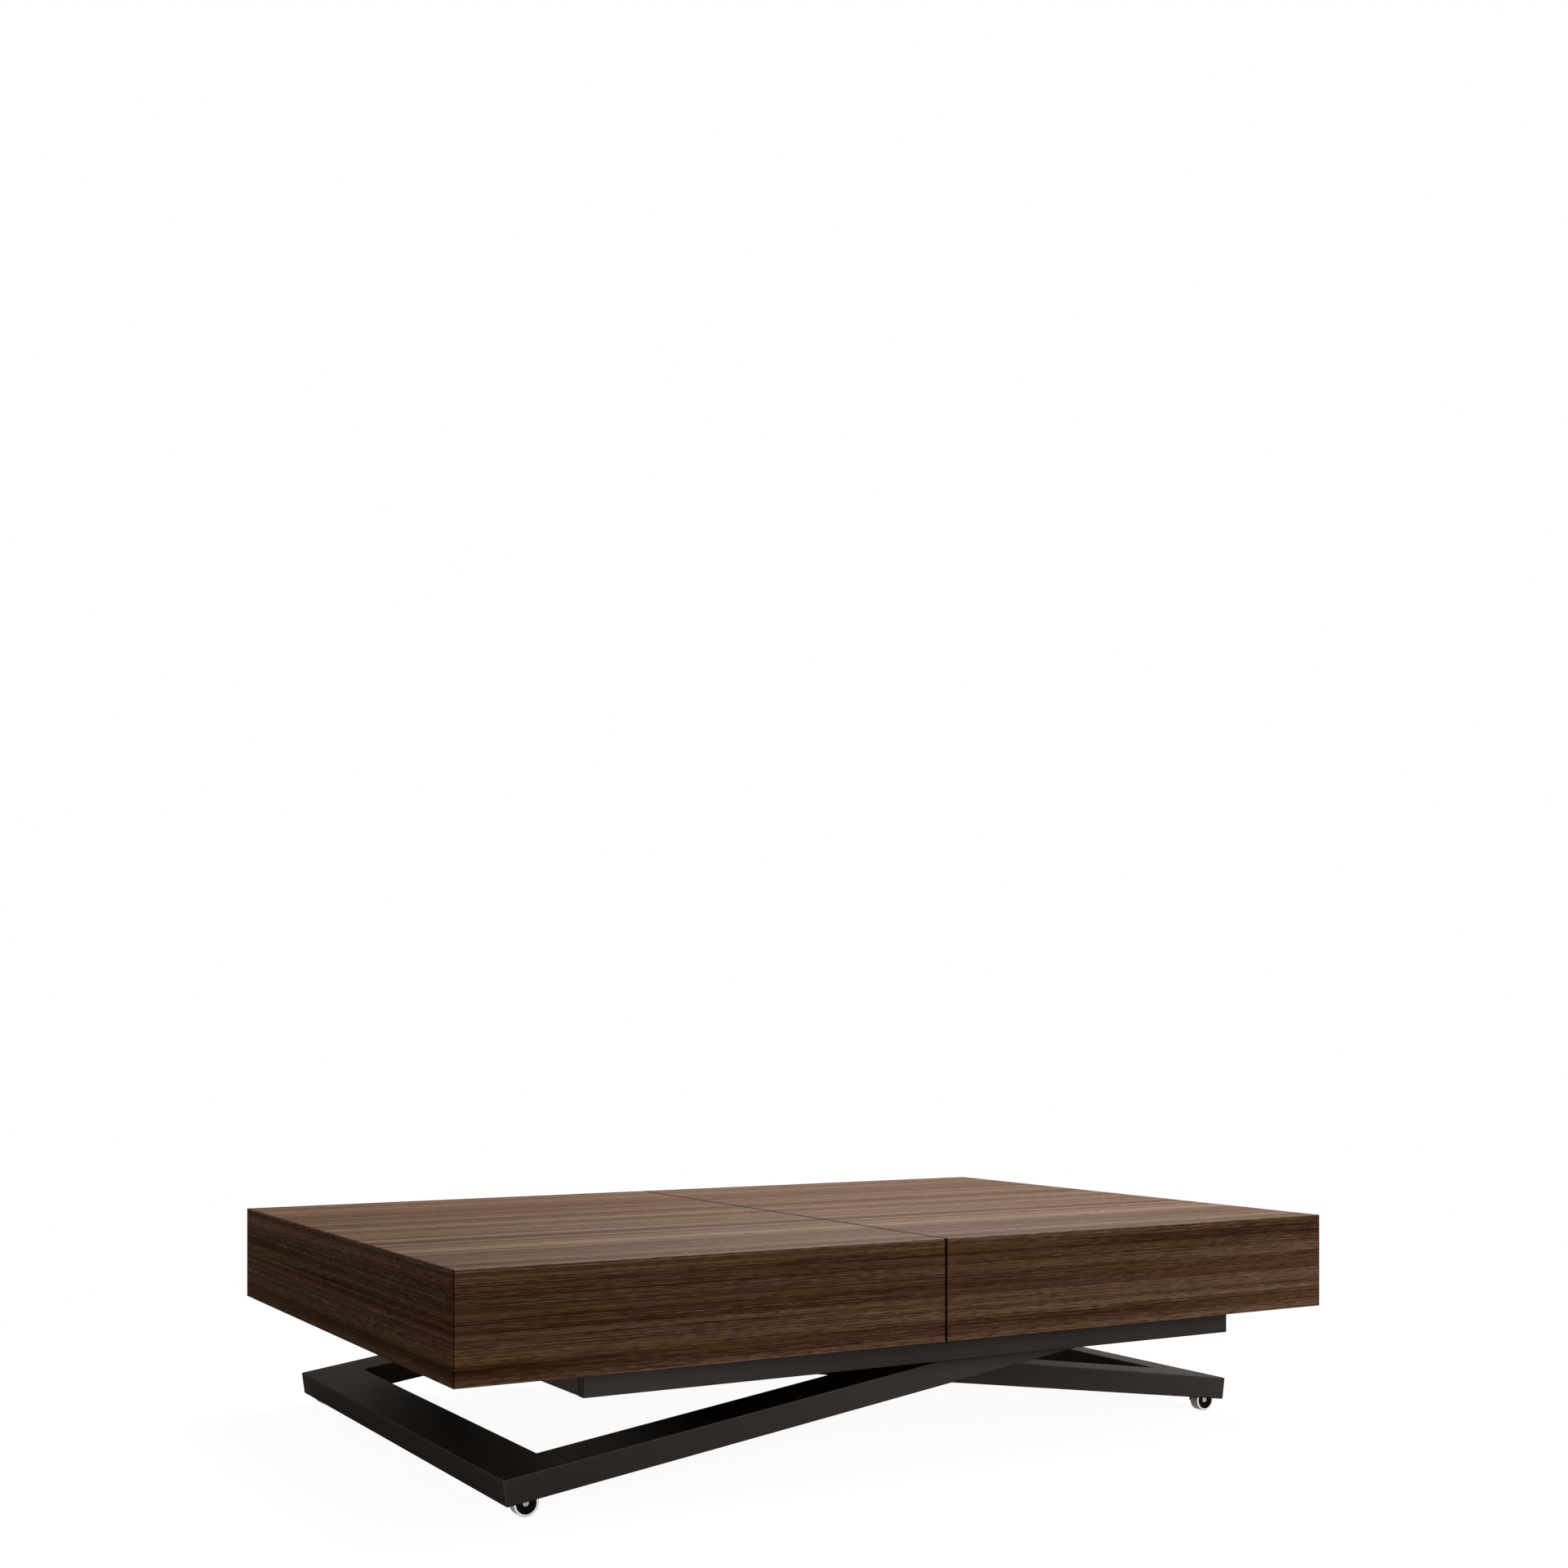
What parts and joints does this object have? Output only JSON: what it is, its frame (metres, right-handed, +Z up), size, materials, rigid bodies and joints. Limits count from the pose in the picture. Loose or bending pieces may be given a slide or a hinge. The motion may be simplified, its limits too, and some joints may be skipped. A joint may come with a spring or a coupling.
{
  "type": "extendable coffee table",
  "caption": "Height-adjustable extendable coffee table: a walnut box that parts over stored leaves, on crossing loop legs with small wheels.",
  "frame": {"origin": "on the floor, under the middle of the box", "axes": "+X along the box towards the right end, across the seam; +Y towards the far long side; +Z up"},
  "size_m": [1.26, 0.824, 0.28],
  "materials": {
    "walnut_top": "satin walnut veneer",
    "walnut_side": "satin walnut veneer, straight horizontal grain",
    "walnut_end": "satin walnut veneer, straight horizontal grain",
    "tray_wood": "clear lacquered birch plywood",
    "black_tube": "satin charcoal powder coat",
    "black_frame": "satin charcoal powder coat",
    "zinc_steel": "bright zinc plate",
    "rim_metal": "turned steel",
    "tyre_rubber": "grey-brown soft tread",
    "roller_plastic": "white acetal",
    "slide_steel": "zinc plated sheet",
    "gas_black": "gloss black enamel",
    "rod_chrome": "polished",
    "felt": "dark felt",
    "glide_plastic": "smooth low-friction plastic"
  },
  "bodies": {
    "left_axle": {"left_axle_rod": "zinc_steel", "left_axle_screws": "zinc_steel"},
    "leg_a": {"leg_a_near_beam": "black_tube", "leg_a_far_beam": "black_tube", "leg_a_floor_tube": "black_tube", "leg_a_top_tube": "black_tube", "leg_a_axle_lugs": "black_tube", "crossing_pins": "zinc_steel"},
    "leg_b": {"leg_b_near_beam": "black_tube", "leg_b_far_beam": "black_tube", "leg_b_floor_tube": "black_tube", "leg_b_top_tube": "black_tube", "leg_b_axle_lugs": "black_tube", "right_axle_rod": "zinc_steel", "right_axle_screws": "zinc_steel", "roller_shaft": "zinc_steel"},
    "near_left_wheel": {"near_left_tyre": "tyre_rubber", "near_left_rim": "rim_metal"},
    "far_left_wheel": {"far_left_tyre": "tyre_rubber", "far_left_rim": "rim_metal"},
    "near_right_wheel": {"near_right_tyre": "tyre_rubber", "near_right_rim": "rim_metal"},
    "far_right_wheel": {"far_right_tyre": "tyre_rubber", "far_right_rim": "rim_metal"},
    "near_roller": {"near_roller": "roller_plastic"},
    "far_roller": {"far_roller": "roller_plastic"},
    "gas_rods": {"gas_rods": "rod_chrome"},
    "frame_and_tray": {"frame_near_rail": "black_frame", "frame_far_rail": "black_frame", "frame_left_rail": "black_frame", "frame_right_rail": "black_frame", "hinge_brackets": "black_frame", "hinge_pins": "zinc_steel", "near_track": "black_frame", "far_track": "black_frame", "gas_cylinders": "gas_black", "gas_clamps": "black_frame", "lever_pin": "zinc_steel", "tray_floor": "tray_wood", "tray_side_walls": "tray_wood", "tray_end_walls": "tray_wood", "lower_leaf": "walnut_top", "upper_leaf": "walnut_top", "felt_strips": "felt", "glide_strips": "glide_plastic", "outer_slides": "slide_steel"},
    "release_lever": {"release_lever": "black_frame"},
    "left_middle": {"left_middle_slides": "slide_steel"},
    "right_middle": {"right_middle_slides": "slide_steel"},
    "left_half": {"left_top": "walnut_top", "left_near_apron": "walnut_side", "left_far_apron": "walnut_side", "left_end_apron": "walnut_end", "left_inner_slides": "slide_steel", "alignment_dowels": "tray_wood"},
    "right_half": {"right_top": "walnut_top", "right_near_apron": "walnut_side", "right_far_apron": "walnut_side", "right_end_apron": "walnut_end", "right_inner_slides": "slide_steel"}
  },
  "joints": [
    {"name": "lift", "type": "hinge", "parent": "left_axle", "child": "leg_a", "pos_m": [-0.53051, 0, 0.015], "axis": [0, -1, 0], "range_deg": [0, 31]},
    {"name": "crossing", "type": "hinge", "parent": "leg_a", "child": "leg_b", "pos_m": [0, 0, 0.10752], "axis": [0, 1, 0], "range_deg": [0, 62]},
    {"name": "top_hinge", "type": "hinge", "parent": "leg_a", "child": "frame_and_tray", "pos_m": [0.44073, 0, 0.169], "axis": [0, 1, 0], "range_deg": [0, 31]},
    {"name": "gas_rod_eye", "type": "hinge", "parent": "leg_b", "child": "gas_rods", "pos_m": [-0.44073, 0, 0.169], "axis": [0, -1, 0], "range_deg": [0, 31]},
    {"name": "near_left_wheel_spin", "type": "hinge", "parent": "left_axle", "child": "near_left_wheel", "pos_m": [-0.53051, -0.364, 0.015], "axis": [0, 1, 0], "continuous": true},
    {"name": "far_left_wheel_spin", "type": "hinge", "parent": "left_axle", "child": "far_left_wheel", "pos_m": [-0.53051, 0.364, 0.015], "axis": [0, 1, 0], "continuous": true},
    {"name": "near_right_wheel_spin", "type": "hinge", "parent": "leg_b", "child": "near_right_wheel", "pos_m": [0.53051, -0.288, 0.015], "axis": [0, 1, 0], "continuous": true},
    {"name": "far_right_wheel_spin", "type": "hinge", "parent": "leg_b", "child": "far_right_wheel", "pos_m": [0.53051, 0.288, 0.015], "axis": [0, 1, 0], "continuous": true},
    {"name": "near_roller_spin", "type": "hinge", "parent": "leg_b", "child": "near_roller", "pos_m": [-0.44073, -0.371, 0.169], "axis": [0, 1, 0], "continuous": true},
    {"name": "far_roller_spin", "type": "hinge", "parent": "leg_b", "child": "far_roller", "pos_m": [-0.44073, 0.371, 0.169], "axis": [0, 1, 0], "continuous": true},
    {"name": "left_extension", "type": "slide", "parent": "frame_and_tray", "child": "left_half", "axis": [-1, 0, 0], "range_m": [0, 0.4]},
    {"name": "right_extension", "type": "slide", "parent": "frame_and_tray", "child": "right_half", "axis": [1, 0, 0], "range_m": [0, 0.4]},
    {"name": "left_middle_slide", "type": "slide", "parent": "frame_and_tray", "child": "left_middle", "axis": [-1, 0, 0], "range_m": [0, 0.2]},
    {"name": "right_middle_slide", "type": "slide", "parent": "frame_and_tray", "child": "right_middle", "axis": [1, 0, 0], "range_m": [0, 0.2]},
    {"name": "lever_swing", "type": "hinge", "parent": "frame_and_tray", "child": "release_lever", "pos_m": [0.5, 0, 0.1755], "axis": [0, 0, 1], "range_deg": [0, 18], "stiffness_Nm_per_rad": 0.3}
  ],
  "couplings": [
    {"joint": "crossing", "follows": "lift", "ratio": 2},
    {"joint": "top_hinge", "follows": "lift", "ratio": 1},
    {"joint": "gas_rod_eye", "follows": "lift", "ratio": 1},
    {"joint": "left_middle_slide", "follows": "left_extension", "ratio": 0.5},
    {"joint": "right_middle_slide", "follows": "right_extension", "ratio": 0.5}
  ]
}
